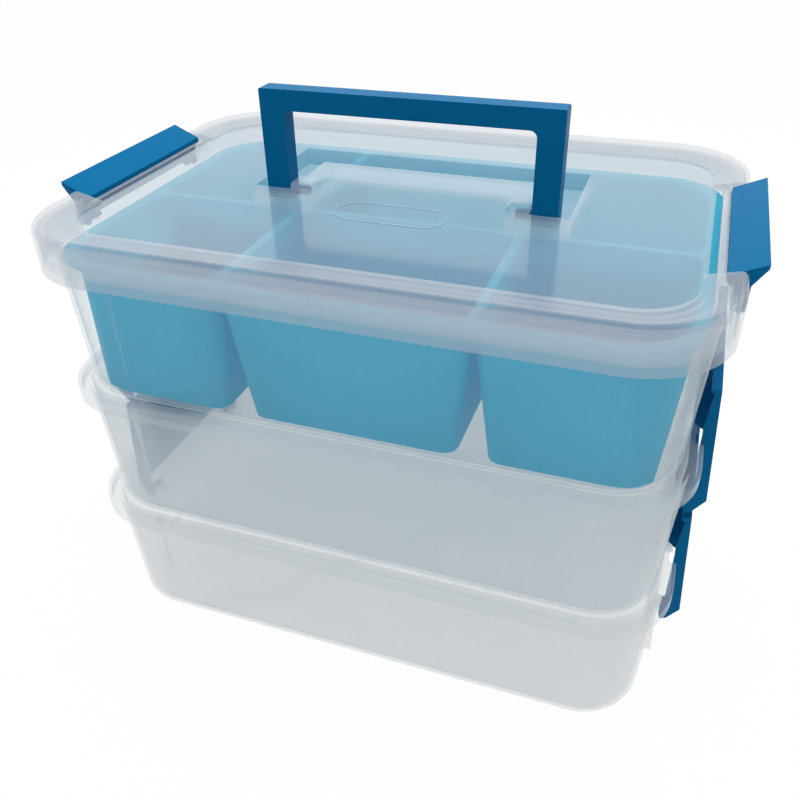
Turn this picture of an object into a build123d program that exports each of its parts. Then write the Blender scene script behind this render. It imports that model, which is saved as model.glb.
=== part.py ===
from build123d import *
import math
import os

os.makedirs("parts", exist_ok=True)

# Three stacked trays with a carrying lid.  X runs along the box, Y from front to back, Z up.
# The origin is the middle of the footprint on the table.

# Trays, all three from one mould shape
tray_height = 93.0
nest_depth = 8.4
wall = 2.0
rim_half_x = 180.0
rim_half_y = 125.5
rim_radius = 45.0
rim_lip = 8.0
rim_edge_round = 1.2
flange_x = 5.0
flange_y = 5.9
flange_corner = 4.0
wall_spread = 5.4
foot_round = 14.0
corner_rib_x = 131.0
corner_rib_width = 2.4
corner_rib_depth = 7.6
corner_rib_top_drop = 9.5
rim_notch_half_y = 62.0
rim_notch_depth = 4.4
seat_gap = 0.3

# Ledge on each end of the foot for the hook of the tier latch below
ledge_half_y = 54.0
ledge_inset = 3.0
ledge_rise = 6.2
ledge_slope_run = 4.6
ledge_slope_drop = 4.2

# Lugs carrying the latch pins
lug_inner_y = 49.5
lug_thickness = 3.0
lug_radius = 3.6
lid_lug_radius = 3.0
pin_radius = 2.2
lid_pin_radius = 1.8
pin_gap = 0.35
tier_pivot_inset = 0.5
tier_pivot_drop = 43.0
lid_pivot_inset = 1.4
lid_pivot_drop = 5.5

# Latches; each place along X is counted from the end of the rim
latch_half_y = 60.0
latch_side = 2.5
latch_skin = 2.4
pin_reach = 9.5
tier_tab_top = 32.5
tier_top_inner = -2.2
tier_top_outer = 2.6
tier_flare = 7.6
tier_flare_drop = 37.5
tier_chamfer = 1.0
tier_chamfer_drop = 47.0
tier_foot = -2.4
tier_foot_drop = 48.3
tier_inner = -1.8
hook_tip = -6.6
hook_rise = 4.6
lid_hook_tip = -6.7
lid_hook_rise = 8.6
lid_tip = 10.2
lid_tip_rise = 16.0
lid_tip_edge = 2.2
lid_neck = 4.2
lid_neck_rise = 4.6
lid_plate = 2.0
lid_hook_thick = 2.7
lid_hook_out = -3.4
lid_web_rise = 5.6
lid_latch_drop = 8.8
lid_foot = -2.6
lid_cheek = -3.0

# Lid
lid_overhang = 2.5
lid_skirt_below_rim = 12.0
lid_crest = 12.0
lid_wall = 2.0
lid_edge_round = 3.5
lid_rim_width_x = 19.3
lid_rim_width_y = 23.2
lid_rim_corner = 18.1
lid_inner_rise = 8.4
panel_rise = 6.6
panel_thickness = 2.0
skirt_rib_x = 133.3
skirt_rib_width = 3.0
skirt_rib_proud = 0.4
notch_half_y = 61.5
notch_depth = 6.0
notch_bar_width = 7.5
notch_chamfer = 4.4
notch_bar_rise = 0.7
seat_rib_inset = 2.0

# Well for the folded handle, and the bare oval
well_half_x = 93.0
well_front = -8.5
well_back = 65.0
well_depth = 10.4
island_half_x = 70.9
island_back = 42.0
boss_half_y = 7.5
boss_length = 13.0
boss_rise = 3.0
oval_length = 65.0
oval_width = 27.0
oval_y = -31.0
oval_line = 1.2
oval_proud = 0.5

# Handle
handle_half_x = 86.4
handle_leg = 14.4
handle_bar = 11.6
handle_depth = 12.0
handle_top = 58.7
handle_pin_radius = 3.0
handle_pin_length = 9.5
handle_corner = 4.0
handle_edge = 1.2
handle_pivot_drop = 3.4

# Blue divider tray
insert_gap_x = 4.5
insert_gap_y = 4.8
insert_gap_corner = 7.0
insert_skin = 1.6
insert_rim = 2.2
insert_top_drop = 7.0
insert_ledge_x = 5.5
insert_ledge_y = 4.8
insert_front_row_y = -4.0
divider_left_x = -67.0
divider_right_x = 67.0
divider_thickness = 2.0
cup_split_drop = 15.0
cup_taper_x = 14.0
cup_taper_y = 13.0
cup_corner = 9.0
cup_clearance = 0.5

wall_top_half_x = rim_half_x - flange_x
wall_top_half_y = rim_half_y - flange_y
wall_top_radius = rim_radius - flange_corner
corner_rib_inner_y = wall_top_half_y - corner_rib_depth
rim_notch_x = rim_half_x - rim_notch_depth
ledge_x = rim_half_x - ledge_inset
tier_pivot_x = rim_half_x - tier_pivot_inset
lid_pivot_x = rim_half_x - lid_pivot_inset
tier_top_inner_x = rim_half_x + tier_top_inner
tier_top_outer_x = rim_half_x + tier_top_outer
tier_flare_x = rim_half_x + tier_flare
tier_chamfer_x = rim_half_x + tier_chamfer
tier_foot_x = rim_half_x + tier_foot
tier_inner_x = rim_half_x + tier_inner
hook_tip_x = rim_half_x + hook_tip
lid_hook_tip_x = rim_half_x + lid_hook_tip
lid_tip_x = rim_half_x + lid_tip
lid_neck_x = rim_half_x + lid_neck
lid_plate_x = rim_half_x + lid_plate
lid_hook_out_x = rim_half_x + lid_hook_out
lid_foot_x = rim_half_x + lid_foot
lid_cheek_x = rim_half_x + lid_cheek
lid_half_x = rim_half_x + lid_overhang
lid_half_y = rim_half_y + lid_overhang
lid_radius = rim_radius + lid_overhang
lid_inner_half_x = lid_half_x - lid_rim_width_x
lid_inner_half_y = lid_half_y - lid_rim_width_y
lid_inner_radius = lid_radius - lid_rim_corner
notch_edge_x = lid_half_x - notch_depth
notch_bar_x = notch_edge_x - notch_bar_width
seat_rib_half_x = rim_half_x - seat_rib_inset
seat_rib_half_y = rim_half_y - seat_rib_inset
insert_half_x = wall_top_half_x - insert_gap_x
insert_half_y = wall_top_half_y - insert_gap_y
insert_radius = wall_top_radius - insert_gap_corner
insert_wall_half_x = insert_half_x - insert_ledge_x
insert_wall_half_y = insert_half_y - insert_ledge_y
wall_foot_half_x = wall_top_half_x - wall_spread
wall_draft = math.degrees(math.atan(wall_spread / tray_height))
bottom_rim = tray_height
middle_base = bottom_rim - nest_depth
middle_rim = middle_base + tray_height
upper_base = middle_rim - nest_depth
upper_rim = upper_base + tray_height
panel_top = upper_rim + panel_rise
pivot_level = panel_top - handle_pivot_drop


def rounded(half_x, half_y, radius, level):
    """Rounded rectangle outline lying flat at one height."""
    return Plane.XY.offset(level) * RectangleRounded(2 * half_x, 2 * half_y, radius)


def slab(half_x, half_y, radius, bottom, top):
    """Plate with rounded corners between two heights."""
    return extrude(rounded(half_x, half_y, radius, bottom), top - bottom)


def block(x_min, x_max, y_min, y_max, z_min, z_max):
    """Plain block between limits."""
    size = Box(x_max - x_min, y_max - y_min, z_max - z_min)
    return Pos((x_min + x_max) / 2, (y_min + y_max) / 2, (z_min + z_max) / 2) * size


def side_profile(points, y_min, y_max):
    """Solid with the given X-Z outline, running along Y."""
    outline = Polygon(*[(x, z) for x, z in points], align=None)
    face = Plane.XZ.offset(-y_max) * outline
    return extrude(face, y_max - y_min, dir=(0, -1, 0))


def rod(x, z, radius, y_min, y_max):
    """Round pin along Y."""
    circle = Plane.XZ.offset(-y_max) * (Pos(x, z) * Circle(radius))
    return extrude(circle, y_max - y_min, dir=(0, -1, 0))


def tray_body(base, top, inset):
    """Tapered body of a tray, or the space inside it when inset is the wall thickness."""
    low = base + inset
    narrowing = inset + (top - low) * math.tan(math.radians(wall_draft))
    foot = rounded(wall_top_half_x - narrowing, wall_top_half_y - narrowing, wall_top_radius - narrowing, low)
    body = extrude(foot, top - low, taper=-wall_draft)
    return fillet(body.faces().sort_by(Axis.Z)[0].edges(), foot_round - inset)


def tray_rim(top):
    """Flange round the mouth with its edge turned down."""
    flange = slab(rim_half_x, rim_half_y, rim_radius, top - rim_lip, top)
    flange = fillet(flange.faces().sort_by(Axis.Z)[-1].edges(), rim_edge_round)
    hollow_x = rim_half_x - wall
    hollow_y = rim_half_y - wall
    flange -= slab(hollow_x, hollow_y, rim_radius - wall, top - rim_lip, top - wall)
    for side in (-1, 1):
        outside = sorted((side * rim_notch_x, side * (rim_half_x + wall)))
        flange -= block(*outside, -rim_notch_half_y, rim_notch_half_y, top - rim_lip - wall, top + wall)
    return flange


def foot_ledges(base, tray_inside):
    """Sloped ledges at both ends of the foot, which sit on the end walls of the tray below."""
    low = base + nest_depth + seat_gap
    top = low + ledge_rise
    depth = ledge_x - wall_foot_half_x + foot_round
    points = [
        (ledge_x - depth, low),
        (ledge_x, low),
        (ledge_x, top - ledge_slope_drop),
        (ledge_x - ledge_slope_run, top),
        (ledge_x - depth, top),
    ]
    right = side_profile(points, -ledge_half_y, ledge_half_y)
    return right + mirror(right, Plane.YZ) - tray_inside


def corner_ribs(base, rim, tray_outside):
    """Upright ribs inside the long walls, which carry the divider tray in the top tray."""
    top = rim - corner_rib_top_drop
    ribs = None
    for side_x in (-1, 1):
        x = side_x * corner_rib_x
        for side_y in (-1, 1):
            y_low, y_high = sorted((side_y * wall_top_half_y, side_y * corner_rib_inner_y))
            half = corner_rib_width / 2
            rib = block(x - half, x + half, y_low, y_high, base + wall, top)
            ribs = rib if ribs is None else ribs + rib
    return ribs & tray_outside


def pin_lugs(pivot_x, pivot_z, radius, hole, tray_inside):
    """Two pairs of lugs, one pair at each end wall, bored for the latch pins."""
    lugs = None
    for side_y in (-1, 1):
        y_low, y_high = sorted((side_y * lug_inner_y, side_y * (lug_inner_y + lug_thickness)))
        arm = side_profile(
            [
                (pivot_x, pivot_z + radius),
                (wall_foot_half_x, pivot_z + radius),
                (wall_foot_half_x, pivot_z - 2 * radius),
                (pivot_x, pivot_z - radius),
            ],
            y_low,
            y_high,
        )
        lug = arm + rod(pivot_x, pivot_z, radius, y_low, y_high)
        lug -= rod(pivot_x, pivot_z, hole, y_low - wall, y_high + wall)
        lugs = lug if lugs is None else lugs + lug
    return lugs + mirror(lugs, Plane.YZ) - tray_inside


def make_tray(base, rim, lugs):
    """One tray of the stack between its base and its rim."""
    outside = tray_body(base, rim, 0)
    inside = tray_body(base, rim, wall)
    tray = outside + foot_ledges(base, inside)
    tray += tray_rim(rim)
    pivot_x, pivot_drop, radius, pin = lugs
    tray += pin_lugs(pivot_x, rim - pivot_drop, radius, pin + pin_gap, inside)
    tray -= inside
    return tray + corner_ribs(base, rim, outside)


def latch_pins(pivot_x, pivot_z, radius):
    """Short pins pointing inwards from both latch sides."""
    pins = None
    for side_y in (-1, 1):
        ends = (side_y * (latch_half_y - latch_side / 2), side_y * (latch_half_y - latch_side - pin_reach))
        pin = rod(pivot_x, pivot_z, radius, *sorted(ends))
        pins = pin if pins is None else pins + pin
    return pins


def side_cheeks(points):
    """Both end cheeks of a latch."""
    near = side_profile(points, -latch_half_y, -latch_half_y + latch_side)
    return near + mirror(near, Plane.XZ)


def make_tier_latch(rim):
    """Right-hand tier latch: tall plate, hook half way up, pins at the lower end."""
    pivot_z = rim - tier_pivot_drop
    outer = [
        (tier_top_outer_x, rim + tier_tab_top),
        (tier_flare_x, rim - tier_flare_drop),
        (tier_chamfer_x, rim - tier_chamfer_drop),
        (tier_foot_x, rim - tier_foot_drop),
    ]
    cheek = [
        (tier_top_outer_x - latch_skin, rim + tier_tab_top),
        *outer,
        (tier_foot_x - latch_skin / 2, pivot_z - lug_radius / 2),
        (tier_foot_x - latch_skin / 2, pivot_z + lug_radius),
        (tier_inner_x, pivot_z + 2 * lug_radius),
        (tier_inner_x, rim + seat_gap + latch_skin),
        (tier_top_inner_x, rim + ledge_rise + latch_skin),
    ]
    skin = [
        (tier_top_inner_x, rim + tier_tab_top),
        *outer[:2],
        (tier_flare_x - latch_skin, rim - tier_flare_drop),
        (tier_top_outer_x - latch_skin, rim + tier_tab_top - latch_skin),
        (tier_top_inner_x, rim + tier_tab_top - latch_skin),
    ]
    latch = side_profile(skin, -latch_half_y, latch_half_y) + side_cheeks(cheek)
    ledge_top = rim + seat_gap + ledge_rise
    run = ledge_x - ledge_slope_run - hook_tip_x
    slope = ledge_slope_drop / ledge_slope_run
    hook = [
        (hook_tip_x, ledge_top + slope * run + 2 * seat_gap),
        (ledge_x + 2 * seat_gap, ledge_top - ledge_slope_drop),
        (tier_flare_x - 2 * latch_skin, ledge_top - ledge_slope_drop),
        (tier_flare_x - 2 * latch_skin, ledge_top + hook_rise),
        (hook_tip_x, ledge_top + hook_rise / 2),
    ]
    half = ledge_half_y - latch_side
    latch += side_profile(hook, -half, half)
    return latch + latch_pins(tier_pivot_x, pivot_z, pin_radius)


def make_lid_latch(rim):
    """Right-hand lid latch: low hook over the lid edge with a flared finger lip."""
    pivot_z = rim - lid_pivot_drop
    lip_low = rim + lid_tip_rise - lid_tip_edge
    hook_low = rim + lid_hook_rise - lid_hook_thick
    cheek = [
        (lid_hook_tip_x, rim + lid_hook_rise),
        (lid_tip_x, rim + lid_tip_rise),
        (lid_tip_x, lip_low),
        (lid_neck_x, rim + lid_neck_rise),
        (lid_neck_x, rim - lid_latch_drop),
        (lid_foot_x, rim - lid_latch_drop),
        (lid_cheek_x, pivot_z),
        (lid_cheek_x, hook_low - lid_cheek_x + lid_hook_tip_x),
        (lid_hook_tip_x, hook_low),
    ]
    skin = [
        (lid_hook_tip_x, rim + lid_hook_rise),
        (lid_tip_x, rim + lid_tip_rise),
        (lid_tip_x, lip_low),
        (lid_neck_x, rim + lid_neck_rise),
        (lid_neck_x, rim - lid_latch_drop + latch_skin),
        (lid_plate_x, rim - lid_latch_drop + latch_skin),
        (lid_plate_x, rim + lid_web_rise),
        (lid_hook_out_x + latch_side, rim + lid_web_rise),
        (lid_hook_out_x, hook_low - lid_hook_out_x + lid_hook_tip_x),
        (lid_hook_tip_x, hook_low),
    ]
    latch = side_profile(skin, -latch_half_y, latch_half_y) + side_cheeks(cheek)
    return latch + latch_pins(lid_pivot_x, pivot_z, lid_pin_radius)


def lid_well_cut():
    """Space of the well from the panel face down."""
    floor = panel_top - well_depth
    return block(-well_half_x, well_half_x, well_front, well_back, floor, panel_top + lid_crest)


def lid_well(shell):
    """Well for the folded handle, with the raised island and the two pin bosses."""
    floor = panel_top - well_depth
    skin = panel_thickness
    body = block(
        -well_half_x - skin, well_half_x + skin, well_front - skin, well_back + skin, floor - skin, panel_top
    )
    shell += body
    shell -= lid_well_cut()
    island = block(-island_half_x, island_half_x, well_front - skin, island_back, floor - skin, panel_top)
    inner = block(
        -island_half_x + boss_length,
        island_half_x - boss_length,
        well_front - 2 * skin,
        island_back - skin,
        floor - 2 * skin,
        panel_top - skin,
    )
    shell += island
    for side in (-1, 1):
        ends = sorted((side * island_half_x, side * (island_half_x - boss_length)))
        boss = block(*ends, -boss_half_y, boss_half_y, floor, panel_top + boss_rise)
        top_edges = boss.faces().sort_by(Axis.Z)[-1].edges().filter_by(Axis.X)
        shell += fillet(top_edges, boss_rise)
        start = island_half_x - handle_pin_length - skin if side > 0 else -island_half_x - skin
        bore = Plane.YZ.offset(start) * (Pos(0, pivot_level) * Circle(handle_pin_radius + pin_gap))
        shell -= extrude(bore, handle_pin_length + 2 * skin)
    return shell - inner


def make_lid():
    """Lid with raised rim, skirt, recessed panel, latch notches, handle well and bare oval."""
    skirt = upper_rim - lid_skirt_below_rim
    crest = upper_rim + lid_crest
    inner_edge = upper_rim + lid_inner_rise
    shell = slab(lid_half_x, lid_half_y, lid_radius, skirt, crest)
    shell = fillet(shell.faces().sort_by(Axis.Z)[-1].edges(), lid_edge_round)
    slope_low = rounded(lid_inner_half_x, lid_inner_half_y, lid_inner_radius, inner_edge)
    crest_x = lid_half_x - lid_edge_round
    crest_y = lid_half_y - lid_edge_round
    slope_high = rounded(crest_x, crest_y, lid_radius - lid_edge_round, crest)
    shell -= loft([slope_low.face(), slope_high.face()])
    shell -= slab(lid_inner_half_x, lid_inner_half_y, lid_inner_radius, panel_top, inner_edge)
    hollow_x = lid_half_x - lid_wall
    hollow_y = lid_half_y - lid_wall
    hollow_radius = lid_radius - lid_wall
    under = panel_top - panel_thickness
    shell -= slab(hollow_x, hollow_y, hollow_radius, skirt, under)
    shell -= rim_hollow(under, hollow_x, hollow_y, hollow_radius)
    shell += seat_rib(under + panel_thickness + lid_wall)
    shell = cut_notches(shell, skirt, crest)
    shell = lid_well(shell)
    shell += oval_ring()
    return shell + skirt_ribs(skirt, crest)


def rim_hollow(under, hollow_x, hollow_y, hollow_radius):
    """Hollow space under the raised rim, stepped to follow its slope."""
    first = slab(hollow_x, hollow_y, hollow_radius, under, under + panel_thickness)
    first -= slab(
        lid_inner_half_x + lid_wall, lid_inner_half_y + lid_wall, lid_inner_radius, under, under + panel_thickness
    )
    low = under + panel_thickness
    middle_x = (lid_inner_half_x + hollow_x) / 2
    middle_y = (lid_inner_half_y + hollow_y) / 2
    middle_radius = (lid_inner_radius + hollow_radius) / 2
    second = slab(hollow_x, hollow_y, hollow_radius, low, low + lid_wall)
    second -= slab(middle_x, middle_y, middle_radius, low, low + lid_wall)
    return first + second


def seat_rib(high):
    """Rib under the rim that rests on the flange of the top tray."""
    low = upper_rim + seat_gap
    rib = slab(seat_rib_half_x, seat_rib_half_y, lid_radius - 2 * lid_wall, low, high)
    inner_x = seat_rib_half_x - lid_wall
    inner_y = seat_rib_half_y - lid_wall
    return rib - slab(inner_x, inner_y, lid_radius - 3 * lid_wall, low, high)


def cut_notches(shell, skirt, crest):
    """Latch notches at both short ends, with the sloped catch bar."""
    bar_low = upper_rim + notch_bar_rise
    points = [
        (notch_bar_x, bar_low),
        (notch_edge_x, bar_low),
        (notch_edge_x, panel_top - notch_chamfer),
        (notch_edge_x - notch_chamfer, panel_top),
        (notch_bar_x, panel_top),
    ]
    bar_half_y = notch_half_y + lid_wall
    bar = side_profile(points, -bar_half_y, bar_half_y)
    bars = bar + mirror(bar, Plane.YZ)
    for side in (-1, 1):
        outer = sorted((side * notch_bar_x, side * (lid_half_x + lid_wall)))
        shell -= block(*outer, -notch_half_y, notch_half_y, skirt - lid_wall, crest + lid_wall)
        inner = sorted((side * (lid_inner_half_x - lid_wall), side * lid_half_x))
        shell -= block(*inner, -notch_half_y, notch_half_y, panel_top, crest + lid_wall)
    return shell + bars


def skirt_ribs(skirt, crest):
    """Slim upright ribs on the front and back of the skirt."""
    ribs = None
    for x in (-skirt_rib_x, 0, skirt_rib_x):
        for side_y in (-1, 1):
            y_low, y_high = sorted((side_y * (lid_half_y + skirt_rib_proud), side_y * (lid_half_y - lid_wall / 2)))
            half = skirt_rib_width / 2
            rib = block(x - half, x + half, y_low, y_high, skirt, crest - lid_edge_round)
            ribs = rib if ribs is None else ribs + rib
    return ribs


def oval_ring():
    """Raised line round the bare oval field."""
    plane = Plane.XY.offset(panel_top - oval_proud)
    outer = plane * (Pos(0, oval_y) * SlotOverall(oval_length, oval_width))
    inner = plane * (Pos(0, oval_y) * SlotOverall(oval_length - 2 * oval_line, oval_width - 2 * oval_line))
    return extrude(outer, 2 * oval_proud) - extrude(inner, 2 * oval_proud)


def edges_at_level(shape, level):
    """Edges along Y that lie at one height."""
    across = shape.edges().filter_by(Axis.Y)
    return across.filter_by_position(Axis.Z, level - seat_gap, level + seat_gap)


def make_handle():
    """Square-section carrying handle with a pin inside each leg."""
    half_depth = handle_depth / 2
    top = pivot_level + handle_top
    outer = block(-handle_half_x, handle_half_x, -half_depth, half_depth, pivot_level, top)
    inner_x = handle_half_x - handle_leg
    hole = block(-inner_x, inner_x, -handle_depth, handle_depth, pivot_level - handle_depth, top - handle_bar)
    bail = outer - hole
    for side in (-1, 1):
        ends = sorted((side * handle_half_x, side * inner_x))
        bottom = Plane.YZ.offset(ends[0]) * (Pos(0, pivot_level) * Circle(half_depth))
        bail += extrude(bottom, ends[1] - ends[0])
    bail = fillet(edges_at_level(bail, top - handle_bar), handle_corner)
    bail = fillet(edges_at_level(bail, top), handle_edge)
    for side in (-1, 1):
        start = inner_x - handle_pin_length
        low = start if side > 0 else -inner_x
        pin = Plane.YZ.offset(low) * (Pos(0, pivot_level) * Circle(handle_pin_radius))
        bail += extrude(pin, handle_pin_length)
    return bail


def cup_blocks(shrink):
    """The five tapered cups as solid blocks; shrink gives the space inside them."""
    envelope = tray_body(upper_base, upper_rim, wall + cup_clearance + shrink)
    top = upper_rim - insert_top_drop
    floor = upper_base + wall + seat_gap + shrink
    wall_x = insert_wall_half_x
    wall_y = insert_wall_half_y
    half = divider_thickness / 2
    rows = [
        (-wall_y, insert_front_row_y - half, [-wall_x, divider_left_x, divider_right_x, wall_x]),
        (insert_front_row_y + half, wall_y, [-wall_x, divider_left_x, wall_x]),
    ]
    cups = None
    for y_low, y_high, xs in rows:
        for x_low, x_high in zip(xs[:-1], xs[1:]):
            left = x_low + (half if x_low > -wall_x else 0)
            right = x_high - (half if x_high < wall_x else 0)
            cup = one_cup(left, right, y_low, y_high, floor, top, shrink)
            cups = cup if cups is None else cups + cup
    return cups & envelope


def one_cup(left, right, y_low, y_high, floor, top, shrink):
    """One cup, straight near the mouth and tapering to its floor."""
    middle_x = (left + right) / 2
    middle_y = (y_low + y_high) / 2
    size_x = right - left - 2 * shrink
    size_y = y_high - y_low - 2 * shrink
    radius = cup_corner - shrink
    split = top - cup_split_drop
    mouth = Plane.XY.offset(split) * (Pos(middle_x, middle_y) * RectangleRounded(size_x, size_y, radius))
    low_x = size_x - cup_taper_x
    low_y = size_y - cup_taper_y
    foot = Plane.XY.offset(floor) * (Pos(middle_x, middle_y) * RectangleRounded(low_x, low_y, radius))
    return extrude(mouth, cup_split_drop) + loft([foot.face(), mouth.face()])


def make_insert():
    """Blue divider tray: five hanging cups under one flat rim."""
    top = upper_rim - insert_top_drop
    rim = slab(insert_half_x, insert_half_y, insert_radius, top - insert_rim, top)
    web = slab(
        insert_wall_half_x - insert_skin,
        insert_wall_half_y - insert_skin,
        insert_radius - insert_skin,
        top - cup_split_drop,
        top - insert_rim / 2,
    )
    body = rim + (cup_blocks(0) & slab(insert_wall_half_x, insert_wall_half_y, insert_radius, 0, top))
    body += web & lattice(top)
    inside = slab(
        insert_wall_half_x - insert_skin, insert_wall_half_y - insert_skin, insert_radius - insert_skin, 0, 2 * top
    )
    return body - (cup_blocks(insert_skin) & inside)


def lattice(top):
    """Single-thickness dividers between the cups."""
    half = divider_thickness / 2 + insert_skin
    wall_x = insert_wall_half_x
    low = top - cup_split_drop
    bars = block(-wall_x, wall_x, insert_front_row_y - half, insert_front_row_y + half, low, top)
    bars += block(divider_left_x - half, divider_left_x + half, -insert_wall_half_y, insert_wall_half_y, low, top)
    bars += block(divider_right_x - half, divider_right_x + half, -insert_wall_half_y, insert_front_row_y, low, top)
    return bars


def save(shape, name):
    shape.label = name
    export_step(shape, f"parts/{name}.step")
    box = shape.bounding_box()
    print(name, round(shape.volume), len(shape.solids()), box.min, box.max)


tier_lugs = (tier_pivot_x, tier_pivot_drop, lug_radius, pin_radius)
lid_lugs = (lid_pivot_x, lid_pivot_drop, lid_lug_radius, lid_pin_radius)
save(make_tray(0, bottom_rim, tier_lugs), "bottom_tray")
save(make_tray(middle_base, middle_rim, tier_lugs), "middle_tray")
save(make_tray(upper_base, upper_rim, lid_lugs), "upper_tray")
save(make_insert(), "divider_tray")
save(make_lid(), "lid")
save(make_handle(), "handle")
for name, rim_level in (("bottom_latch", bottom_rim), ("middle_latch", middle_rim)):
    right_latch = make_tier_latch(rim_level)
    save(mirror(right_latch, Plane.YZ), f"{name}_left")
    save(right_latch, f"{name}_right")
lid_latch = make_lid_latch(upper_rim)
save(mirror(lid_latch, Plane.YZ), "lid_latch_left")
save(lid_latch, "lid_latch_right")
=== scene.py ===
import math

import bpy
from mathutils import Matrix, Vector


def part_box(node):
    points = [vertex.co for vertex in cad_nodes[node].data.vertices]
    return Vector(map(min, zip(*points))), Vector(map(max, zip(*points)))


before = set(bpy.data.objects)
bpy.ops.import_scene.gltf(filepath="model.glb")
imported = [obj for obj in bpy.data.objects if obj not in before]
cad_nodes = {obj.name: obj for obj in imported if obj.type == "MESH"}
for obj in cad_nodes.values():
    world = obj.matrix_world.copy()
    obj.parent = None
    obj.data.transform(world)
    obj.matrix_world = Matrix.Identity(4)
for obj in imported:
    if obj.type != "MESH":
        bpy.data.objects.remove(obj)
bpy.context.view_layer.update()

scene = bpy.context.scene


# The table
# A wide pale sheet that the box stands on. It is lit like the box and keeps its soft shadow,
# and looks white wherever nothing stands in its light.
table_reach = 6.0
table_drop = 0.0004
table_white = (0.93, 0.935, 0.94, 1.0)
table_glow_share = 0.97

table_mesh = bpy.data.meshes.new("table_top")
table_corners = [(-table_reach, -table_reach), (table_reach, -table_reach), (table_reach, table_reach)]
table_corners.append((-table_reach, table_reach))
table_mesh.from_pydata([(x, y, -table_drop) for x, y in table_corners], [], [(0, 1, 2, 3)])
table_top = bpy.data.objects.new("table_top", table_mesh)
scene.collection.objects.link(table_top)


def new_material(name):
    """Empty node material and the two calls that fill it."""
    material = bpy.data.materials.new(name)
    material.use_nodes = True
    tree = material.node_tree
    tree.nodes.clear()
    output = tree.nodes.new("ShaderNodeOutputMaterial")
    return material, tree, output


def add_node(tree, kind, **values):
    """One node, with plain properties by name and input sockets by their label."""
    node = tree.nodes.new(kind)
    for key, value in values.items():
        if hasattr(node, key):
            setattr(node, key, value)
        else:
            node.inputs[key.replace("_", " ")].default_value = value
    return node


def join(tree, start, end):
    """Link from an output socket to an input socket."""
    tree.links.new(start, end)


def mix_shader(tree, share, low, high):
    """A shader between two others, by a number or a mask."""
    node = tree.nodes.new("ShaderNodeMixShader")
    if isinstance(share, (int, float)):
        node.inputs[0].default_value = share
    else:
        join(tree, share, node.inputs[0])
    join(tree, low, node.inputs[1])
    join(tree, high, node.inputs[2])
    return node.outputs[0]


def seen_directly(tree):
    """One where a camera, mirror or glass ray looks at the surface, else zero."""
    path = tree.nodes.new("ShaderNodeLightPath")
    total = None
    for name in ("Is Camera Ray", "Is Glossy Ray", "Is Transmission Ray"):
        if total is None:
            total = path.outputs[name]
            continue
        step = add_node(tree, "ShaderNodeMath", operation="MAXIMUM")
        join(tree, total, step.inputs[0])
        join(tree, path.outputs[name], step.inputs[1])
        total = step.outputs[0]
    return total


table_paint, tree, output = new_material("pale table")
board = add_node(tree, "ShaderNodeBsdfDiffuse", Color=table_white)
glow = add_node(tree, "ShaderNodeEmission", Color=(1, 1, 1, 1), Strength=1.0)
share = add_node(tree, "ShaderNodeMath", operation="MULTIPLY")
share.inputs[1].default_value = table_glow_share
join(tree, seen_directly(tree), share.inputs[0])
sheet = mix_shader(tree, share.outputs[0], board.outputs[0], glow.outputs[0])
join(tree, sheet, output.inputs["Surface"])
table_mesh.materials.append(table_paint)


# The studio light
# A white room gives even light from all sides. One large soft panel overhead makes upward faces
# the brightest, and a weaker one at the left front opens the long wall. Neither shows in the gloss.
room_light = 0.42
room_tint = (0.97, 0.985, 1.0, 1.0)
panels = [
    ("overhead_panel", (0.05, 0.25, 1.55), (0.0, 0.0, 0.1), 1.7, 26.0),
    ("front_panel", (-1.3, -1.5, 0.9), (0.0, 0.0, 0.12), 1.2, 4.0),
]

world = bpy.data.worlds.new("white room")
scene.world = world
world.use_nodes = True
tree = world.node_tree
tree.nodes.clear()
output = tree.nodes.new("ShaderNodeOutputWorld")
backdrop = add_node(tree, "ShaderNodeBackground", Color=(1, 1, 1, 1), Strength=1.0)
room = add_node(tree, "ShaderNodeBackground", Color=room_tint, Strength=room_light)
surround = mix_shader(tree, seen_directly(tree), room.outputs[0], backdrop.outputs[0])
join(tree, surround, output.inputs["Surface"])

for name, place, aim, side, power in panels:
    lamp = bpy.data.lights.new(name, "AREA")
    lamp.shape = "SQUARE"
    lamp.size = side
    lamp.energy = power
    holder = bpy.data.objects.new(name, lamp)
    holder.location = place
    holder.rotation_euler = (Vector(aim) - Vector(place)).to_track_quat("-Z", "Y").to_euler()
    holder.visible_glossy = False
    scene.collection.objects.link(holder)


# The camera
# It looks down on the box from close by at the front right, which makes the uprights lean together.
photo_side = 800
focal_pixels = 829.21
sensor = 36.0
eye = Vector((0.14998, -0.43234, 0.43653))
to_right = Vector((0.943052, 0.332182, -0.017563))
to_down = Vector((0.171856, -0.531741, -0.829287))
to_front = Vector((-0.284813, 0.779042, -0.558547))

view = bpy.data.cameras.new("camera")
view.sensor_width = sensor
view.lens = sensor * focal_pixels / photo_side
camera = bpy.data.objects.new("camera", view)
turn = Matrix((to_right, -to_down, -to_front)).transposed()
camera.matrix_world = Matrix.Translation(eye) @ turn.to_4x4()
scene.collection.objects.link(camera)
scene.camera = camera
scene.view_settings.view_transform = "Standard"
scene.cycles.transparent_max_bounces = 48


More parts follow.
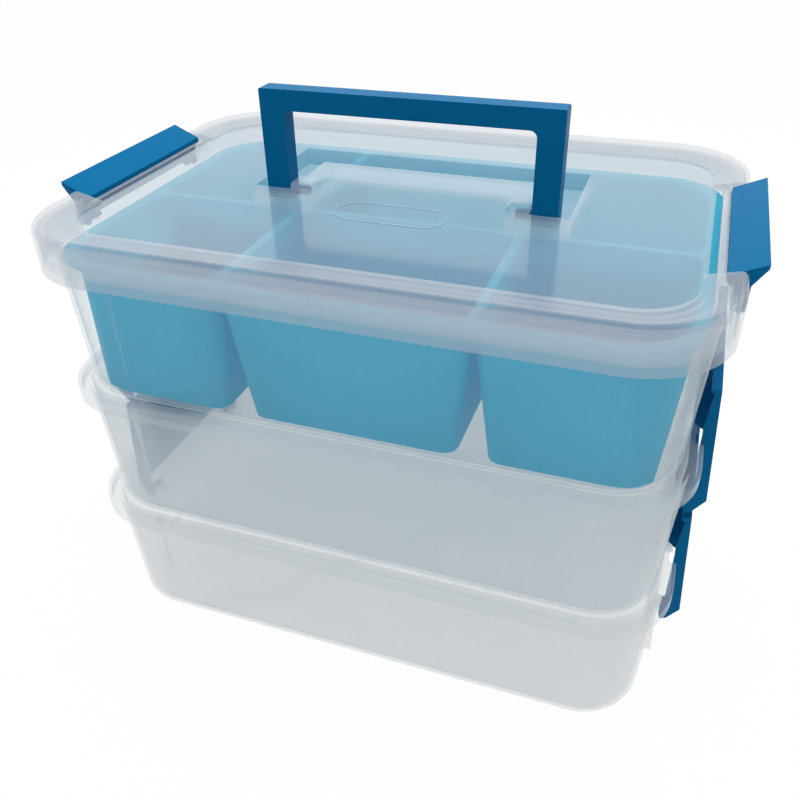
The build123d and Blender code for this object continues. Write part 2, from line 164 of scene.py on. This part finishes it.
# The three trays
# Thin injection-moulded polypropylene, left natural: milky and see-through, with a satin mould
# finish. The rims are two walls deep, so they look denser. The two empty trays look milkier than
# the one with the blue cups close behind its wall.
wall_tint = (0.93, 0.93, 0.93, 1.0)
rim_tint = (0.92, 0.93, 0.94, 1.0)
wall_cover = {"bottom_tray": 0.50, "middle_tray": 0.50, "upper_tray": 0.16}
rim_cover = 0.30
edge_cover = 0.55
wall_roughness = 0.26
haze_through = 0.5
haze_gloss = 0.2
clear_tint = (0.985, 0.99, 0.992, 1.0)
wall_bump = 0.08
wall_shine = 0.5
plastic_ior = 1.49
gloss_ior = 1.35
relief_depth = 0.0004
edge_blend = 0.35
edge_start = 0.35
rim_fade_low = 0.0015
rim_fade_high = 0.0005
rim_roughness = 0.38
rim_lip = 0.0085


def group_sockets(group, inputs, outputs):
    """Sockets of a node group: (name, kind, starting value) in, (name, kind) out."""
    for name, kind, value in inputs:
        socket = group.interface.new_socket(name, in_out="INPUT", socket_type=kind)
        socket.default_value = value
    for name, kind in outputs:
        group.interface.new_socket(name, in_out="OUTPUT", socket_type=kind)
    return group.nodes.new("NodeGroupInput"), group.nodes.new("NodeGroupOutput")


def make_mould_grain():
    """Fine unevenness of a moulded face: a height for bumps and a slow drift of tone."""
    group = bpy.data.node_groups.new("mould grain", "ShaderNodeTree")
    start, end = group_sockets(
        group,
        [("Grain Scale", "NodeSocketFloat", 900.0), ("Drift Scale", "NodeSocketFloat", 12.0)],
        [("Height", "NodeSocketFloat"), ("Drift", "NodeSocketFloat")],
    )
    place = group.nodes.new("ShaderNodeTexCoord")
    grain = add_node(group, "ShaderNodeTexNoise", Detail=3.0, Roughness=0.6)
    join(group, place.outputs["Object"], grain.inputs["Vector"])
    join(group, start.outputs["Grain Scale"], grain.inputs["Scale"])
    drift = add_node(group, "ShaderNodeTexNoise", Detail=2.0, Roughness=0.5)
    join(group, place.outputs["Object"], drift.inputs["Vector"])
    join(group, start.outputs["Drift Scale"], drift.inputs["Scale"])
    join(group, grain.outputs["Fac"], end.inputs["Height"])
    join(group, drift.outputs["Fac"], end.inputs["Drift"])
    return group


mould_grain = make_mould_grain()


def place_group(tree, group, **values):
    """A node group set into a material, with its own values."""
    node = tree.nodes.new("ShaderNodeGroup")
    node.node_tree = group
    for key, value in values.items():
        node.inputs[key.replace("_", " ")].default_value = value
    return node


def mix_value(tree, share, low, high):
    """A number between two others, by a mask; each may be a number or a socket."""
    node = tree.nodes.new("ShaderNodeMix")
    node.data_type = "FLOAT"
    for socket, value in zip((node.inputs[0], node.inputs[2], node.inputs[3]), (share, low, high)):
        if isinstance(value, (int, float)):
            socket.default_value = value
        else:
            join(tree, value, socket)
    return node.outputs[0]


def mix_colour(tree, share, low, high):
    """A colour between two others, by a mask; each may be a colour or a socket."""
    node = tree.nodes.new("ShaderNodeMix")
    node.data_type = "RGBA"
    for socket, value in zip((node.inputs[0], node.inputs[6], node.inputs[7]), (share, low, high)):
        if isinstance(value, (int, float, tuple)):
            socket.default_value = value
        else:
            join(tree, value, socket)
    return node.outputs[2]


def remap(tree, value, low, high, out_low=0.0, out_high=1.0):
    """A value's range carried over to another range, held at its ends."""
    node = add_node(tree, "ShaderNodeMapRange", interpolation_type="SMOOTHSTEP")
    join(tree, value, node.inputs["Value"])
    node.inputs["From Min"].default_value = low
    node.inputs["From Max"].default_value = high
    node.inputs["To Min"].default_value = out_low
    node.inputs["To Max"].default_value = out_high
    return node.outputs["Result"]


def object_axis(tree, axis):
    """One coordinate of the piece in metres."""
    place = tree.nodes.new("ShaderNodeTexCoord")
    split = tree.nodes.new("ShaderNodeSeparateXYZ")
    join(tree, place.outputs["Object"], split.inputs[0])
    return split.outputs[axis]


def see_through(tree, output, colour, cover, rough, height, bump, edge, shine):
    """Milky plastic: lit haze over what is behind, more so edge-on, under a soft gloss."""
    facing = add_node(tree, "ShaderNodeLayerWeight", Blend=edge_blend)
    turned = remap(tree, facing.outputs["Facing"], edge_start, 1.0)
    skin = mix_value(tree, turned, cover, edge)
    sides = tree.nodes.new("ShaderNodeNewGeometry")
    inner = sides.outputs["Backfacing"]
    alpha = mix_value(tree, inner, skin, 0.0)
    relief = add_node(tree, "ShaderNodeBump", Strength=bump, Distance=relief_depth)
    join(tree, height, relief.inputs["Height"])
    plastic = add_node(tree, "ShaderNodeBsdfPrincipled", IOR=plastic_ior, Specular_IOR_Level=haze_gloss)
    join(tree, colour, plastic.inputs["Base Color"])
    join(tree, rough, plastic.inputs["Roughness"])
    join(tree, relief.outputs["Normal"], plastic.inputs["Normal"])
    lit_through = tree.nodes.new("ShaderNodeBsdfTranslucent")
    join(tree, colour, lit_through.inputs["Color"])
    haze = mix_shader(tree, haze_through, plastic.outputs[0], lit_through.outputs[0])
    clear = add_node(tree, "ShaderNodeBsdfTransparent", Color=clear_tint)
    body = mix_shader(tree, alpha, clear.outputs[0], haze)
    gloss = add_node(tree, "ShaderNodeBsdfGlossy", Color=(1, 1, 1, 1))
    join(tree, rough, gloss.inputs["Roughness"])
    join(tree, relief.outputs["Normal"], gloss.inputs["Normal"])
    mirror = add_node(tree, "ShaderNodeFresnel", IOR=gloss_ior)
    part = add_node(tree, "ShaderNodeMath", operation="MULTIPLY")
    join(tree, mirror.outputs[0], part.inputs[0])
    part.inputs[1].default_value = shine
    outside = mix_value(tree, inner, part.outputs[0], 0.0)
    join(tree, mix_shader(tree, outside, body, gloss.outputs[0]), output.inputs["Surface"])


def dress(node, material):
    """Gives a CAD node its finish in every slot."""
    mesh = cad_nodes[node].data
    mesh.materials.clear()
    mesh.materials.append(material)


for tray in ("bottom_tray", "middle_tray", "upper_tray"):
    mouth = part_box(tray)[1]
    finish, tree, output = new_material(f"{tray} natural plastic")
    grain = place_group(tree, mould_grain, Grain_Scale=1400.0, Drift_Scale=9.0)
    height = object_axis(tree, 2)
    in_rim = remap(tree, height, mouth.z - rim_lip - rim_fade_low, mouth.z - rim_lip + rim_fade_high)
    tint = mix_colour(tree, in_rim, wall_tint, rim_tint)
    cover = mix_value(tree, in_rim, wall_cover[tray], rim_cover)
    rough = mix_value(tree, in_rim, wall_roughness, rim_roughness)
    see_through(tree, output, tint, cover, rough, grain.outputs["Height"], wall_bump, edge_cover, wall_shine)
    dress(tray, finish)


# The divider tray
# One thin blue moulding of five hanging cups under a flat rim. Light comes through it, so the cups
# glow from inside and only hint at what is behind.
divider_blue = (0.08, 0.62, 0.76, 1.0)
divider_pass = (0.30, 0.78, 0.90, 1.0)
divider_cover = 0.66
divider_through = 0.45
divider_lift = 1.12
divider_bump = 0.2
divider_relief = 0.0003
divider_roughness = 0.38
divider_gloss = 0.2

finish, tree, output = new_material("divider tray blue plastic")
grain = place_group(tree, mould_grain, Grain_Scale=1600.0, Drift_Scale=14.0)
relief = add_node(tree, "ShaderNodeBump", Strength=divider_bump, Distance=divider_relief)
join(tree, grain.outputs["Height"], relief.inputs["Height"])
lighter = tuple(min(1.0, c * divider_lift) for c in divider_blue[:3]) + (1.0,)
tone = mix_colour(tree, grain.outputs["Drift"], divider_blue, lighter)
skin = add_node(tree, "ShaderNodeBsdfPrincipled", Roughness=divider_roughness, IOR=plastic_ior)
skin.inputs["Specular IOR Level"].default_value = divider_gloss
join(tree, tone, skin.inputs["Base Color"])
join(tree, relief.outputs["Normal"], skin.inputs["Normal"])
lit_through = add_node(tree, "ShaderNodeBsdfTranslucent")
join(tree, tone, lit_through.inputs["Color"])
body = mix_shader(tree, divider_through, skin.outputs[0], lit_through.outputs[0])
clear = add_node(tree, "ShaderNodeBsdfTransparent", Color=divider_pass)
whole = mix_shader(tree, divider_cover, clear.outputs[0], body)
join(tree, whole, output.inputs["Surface"])
dress("divider_tray", finish)


# The lid
# The same natural plastic as the trays. Its raised rim has the satin mould finish, and the sunk
# panel is polished, so the divider tray shows clearly through it. The rim's haze colour is a darker
# grey than the trays': painted shade. The panel's haze colour is pale blue: painted blue light from
# the divider tray below.
# Rim haze colour, darker than the same plastic on the trays: painted shade.
lid_rim_painted_shade = (0.68, 0.69, 0.73, 1.0)
# Panel haze colour, pale blue: painted blue light from the divider tray below.
panel_painted_blue_light = (0.80, 0.87, 0.90, 1.0)
lid_rim_cover = 0.42
panel_cover = 0.38
panel_half_x = 0.1632
panel_half_y = 0.1048
panel_radius = 0.0294
panel_blur = 0.0015
lid_rim_roughness = 0.40
panel_roughness = 0.10
panel_height = 0.5
lid_bump = 0.2
lid_edge_cover = 0.6
lid_shine = 0.9


def make_round_window():
    """One inside an upright rounded rectangle, zero outside it."""
    group = bpy.data.node_groups.new("round window", "ShaderNodeTree")
    start, end = group_sockets(
        group,
        [
            ("Half X", "NodeSocketFloat", 0.1),
            ("Half Y", "NodeSocketFloat", 0.1),
            ("Radius", "NodeSocketFloat", 0.02),
            ("Blur", "NodeSocketFloat", 0.002),
        ],
        [("Inside", "NodeSocketFloat")],
    )
    place = group.nodes.new("ShaderNodeTexCoord")
    split = group.nodes.new("ShaderNodeSeparateXYZ")
    join(group, place.outputs["Object"], split.inputs[0])
    squares = []
    for axis, label in ((0, "Half X"), (1, "Half Y")):
        straight = add_node(group, "ShaderNodeMath", operation="SUBTRACT")
        join(group, start.outputs[label], straight.inputs[0])
        join(group, start.outputs["Radius"], straight.inputs[1])
        distance = add_node(group, "ShaderNodeMath", operation="ABSOLUTE")
        join(group, split.outputs[axis], distance.inputs[0])
        beyond = add_node(group, "ShaderNodeMath", operation="SUBTRACT")
        join(group, distance.outputs[0], beyond.inputs[0])
        join(group, straight.outputs[0], beyond.inputs[1])
        held = add_node(group, "ShaderNodeMath", operation="MAXIMUM")
        join(group, beyond.outputs[0], held.inputs[0])
        held.inputs[1].default_value = 0.0
        square = add_node(group, "ShaderNodeMath", operation="POWER")
        join(group, held.outputs[0], square.inputs[0])
        square.inputs[1].default_value = 2.0
        squares.append(square.outputs[0])
    total = add_node(group, "ShaderNodeMath", operation="ADD")
    join(group, squares[0], total.inputs[0])
    join(group, squares[1], total.inputs[1])
    root = add_node(group, "ShaderNodeMath", operation="SQRT")
    join(group, total.outputs[0], root.inputs[0])
    past = add_node(group, "ShaderNodeMath", operation="SUBTRACT")
    join(group, root.outputs[0], past.inputs[0])
    join(group, start.outputs["Radius"], past.inputs[1])
    scaled = add_node(group, "ShaderNodeMath", operation="DIVIDE")
    join(group, past.outputs[0], scaled.inputs[0])
    join(group, start.outputs["Blur"], scaled.inputs[1])
    flipped = add_node(group, "ShaderNodeMath", operation="SUBTRACT", use_clamp=True)
    flipped.inputs[0].default_value = 0.5
    join(group, scaled.outputs[0], flipped.inputs[1])
    join(group, flipped.outputs[0], end.inputs["Inside"])
    return group


round_window = make_round_window()

finish, tree, output = new_material("lid natural plastic")
grain = place_group(tree, mould_grain, Grain_Scale=1300.0, Drift_Scale=10.0)
window = place_group(
    tree, round_window, Half_X=panel_half_x, Half_Y=panel_half_y, Radius=panel_radius, Blur=panel_blur
)
# Haze colour: painted shade on the rim, painted blue light from the divider tray in the panel.
tint = mix_colour(tree, window.outputs["Inside"], lid_rim_painted_shade, panel_painted_blue_light)
cover = mix_value(tree, window.outputs["Inside"], lid_rim_cover, panel_cover)
rough = mix_value(tree, window.outputs["Inside"], lid_rim_roughness, panel_roughness)
relief = mix_value(tree, window.outputs["Inside"], grain.outputs["Height"], panel_height)
see_through(tree, output, tint, cover, rough, relief, lid_bump, lid_edge_cover, lid_shine)
dress("lid", finish)


# The handle and the latches
# Solid dark blue polypropylene from one colour batch, with a satin face and fine tool lines along
# the handle's grip. The handle snaps on its pins into the lid, and each latch into its tray's lugs.
solid_blue = (0.0, 0.125, 0.29, 1.0)
solid_blue_light = (0.0, 0.14, 0.32, 1.0)
solid_roughness = 0.36
solid_ior = 1.40
solid_gloss = 0.05
solid_bump = 0.15
solid_relief = 0.0002
handle_line_pitch = 0.0011
handle_line_depth = 0.10
latch_line_pitch = 0.0016
latch_line_depth = 0.05


def make_tool_lines():
    """Fine straight lines that a cutter left in the mould, across one axis."""
    group = bpy.data.node_groups.new("tool lines", "ShaderNodeTree")
    start, end = group_sockets(
        group,
        [("Across", "NodeSocketFloat", 0.0), ("Pitch", "NodeSocketFloat", 0.0008)],
        [("Height", "NodeSocketFloat")],
    )
    steps = add_node(group, "ShaderNodeMath", operation="DIVIDE")
    join(group, start.outputs["Across"], steps.inputs[0])
    join(group, start.outputs["Pitch"], steps.inputs[1])
    around = add_node(group, "ShaderNodeMath", operation="MULTIPLY")
    join(group, steps.outputs[0], around.inputs[0])
    around.inputs[1].default_value = 2 * math.pi
    wave = add_node(group, "ShaderNodeMath", operation="SINE")
    join(group, around.outputs[0], wave.inputs[0])
    join(group, wave.outputs[0], end.inputs["Height"])
    return group


tool_lines = make_tool_lines()


def solid_plastic(name, axis, pitch, line_depth):
    """Satin blue plastic with tool lines across the given axis."""
    finish, tree, output = new_material(name)
    grain = place_group(tree, mould_grain, Grain_Scale=1800.0, Drift_Scale=25.0)
    tone = mix_colour(tree, grain.outputs["Drift"], solid_blue, solid_blue_light)
    lines = place_group(tree, tool_lines, Pitch=pitch)
    join(tree, object_axis(tree, axis), lines.inputs["Across"])
    fine = add_node(tree, "ShaderNodeBump", Strength=solid_bump, Distance=solid_relief)
    join(tree, grain.outputs["Height"], fine.inputs["Height"])
    cut = add_node(tree, "ShaderNodeBump", Strength=line_depth, Distance=solid_relief)
    join(tree, lines.outputs["Height"], cut.inputs["Height"])
    join(tree, fine.outputs["Normal"], cut.inputs["Normal"])
    plastic = add_node(tree, "ShaderNodeBsdfPrincipled", Roughness=solid_roughness, IOR=solid_ior)
    plastic.inputs["Specular IOR Level"].default_value = solid_gloss
    join(tree, tone, plastic.inputs["Base Color"])
    join(tree, cut.outputs["Normal"], plastic.inputs["Normal"])
    join(tree, plastic.outputs[0], output.inputs["Surface"])
    return finish


dress("handle", solid_plastic("handle blue plastic", 1, handle_line_pitch, handle_line_depth))
latch_finish = solid_plastic("latch blue plastic", 2, latch_line_pitch, latch_line_depth)
for row in ("bottom_latch", "middle_latch", "lid_latch"):
    for side in ("left", "right"):
        dress(f"{row}_{side}", latch_finish)
